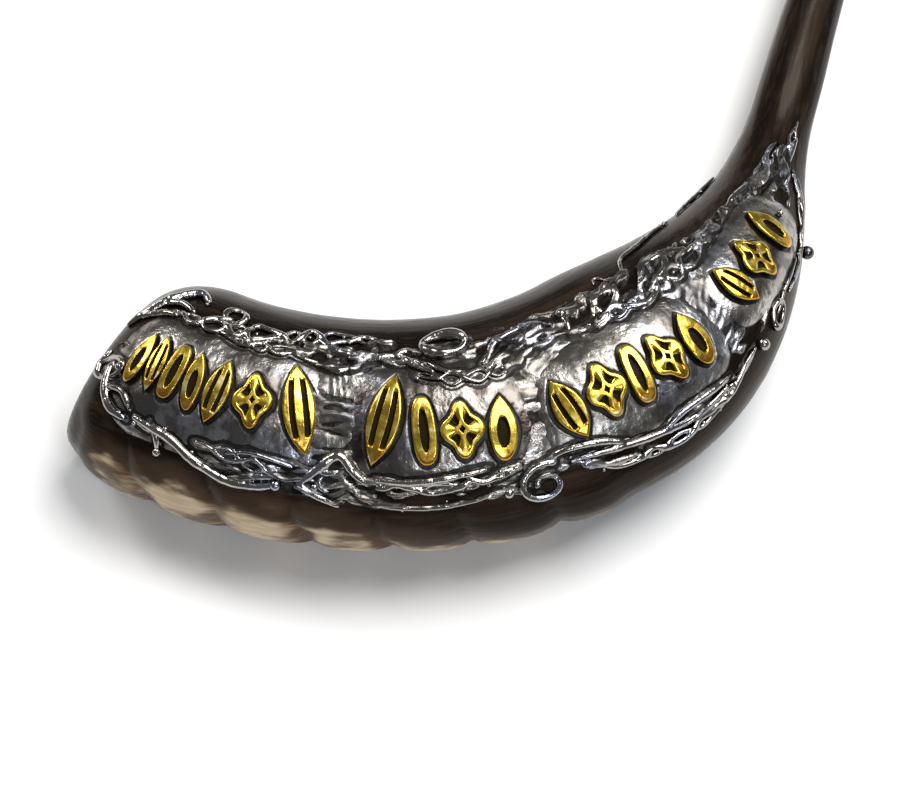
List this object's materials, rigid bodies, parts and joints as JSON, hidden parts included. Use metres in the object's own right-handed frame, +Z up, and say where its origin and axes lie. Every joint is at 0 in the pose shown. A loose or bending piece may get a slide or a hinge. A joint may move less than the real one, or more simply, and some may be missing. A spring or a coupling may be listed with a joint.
{
  "type": "shofar",
  "caption": "Curved ram's horn wind instrument with an open bell, a straight drilled neck, a silver vine relief and gold ornaments on its upper face.",
  "frame": {"origin": "centre of the bounding box on the surface that the horn lies on", "axes": "+X from the bell towards the neck, +Y away from the outer curve, +Z up through the decorated face"},
  "size_m": [0.2364, 0.2224, 0.0531],
  "materials": {
    "horn": "polished dark horn with cream growth ridges",
    "silver": "hammered and partly blackened silver plate",
    "gold": "bright gold plate with dark edges",
    "dark_silver": "blackened silver"
  },
  "bodies": {
    "root": {"horn_body": "horn", "horn_neck": "horn", "silver_ground": "silver", "silver_field_1": "silver", "silver_field_2": "silver", "silver_field_3": "silver", "silver_field_4": "silver", "vine_curl": "silver", "vine_beads": "silver", "side_bead": "dark_silver", "vine_branch": "silver", "vine_long_strand": "silver", "vine_under_strand": "silver", "vine_arc_left": "silver", "vine_arc_right": "silver", "vine_leaf_top": "silver", "vine_leaf_rib": "silver", "vine_chain": "silver", "tendril_low": "silver", "tendril_high": "silver", "neck_vine": "silver", "bell_strand": "silver", "lower_drop": "silver", "lower_strand": "silver", "lower_lens": "silver", "lower_twig": "silver", "lower_strand_upper": "silver", "lower_strand_outer": "silver", "lower_right_strand": "silver", "neck_edge_strand": "silver", "bell_loop": "silver", "vine_coil": "silver", "vine_ring": "silver", "vine_bow": "silver", "vine_lens": "silver", "twig_loop": "silver", "knob_cluster": "silver", "gold_bud_1": "gold", "gold_leaf_1": "gold", "gold_petal_1": "gold", "gold_bud_2": "gold", "gold_leaf_2": "gold", "gold_flower_1": "gold", "gold_leaf_3": "gold", "gold_leaf_4": "gold", "gold_petal_2": "gold", "gold_flower_2": "gold", "gold_bud_3": "gold", "gold_leaf_5": "gold", "gold_flower_3": "gold", "gold_petal_3": "gold", "gold_flower_4": "gold", "gold_bud_4": "gold", "gold_leaf_6": "gold", "gold_flower_5": "gold", "gold_bud_5": "gold"}
  },
  "joints": []
}
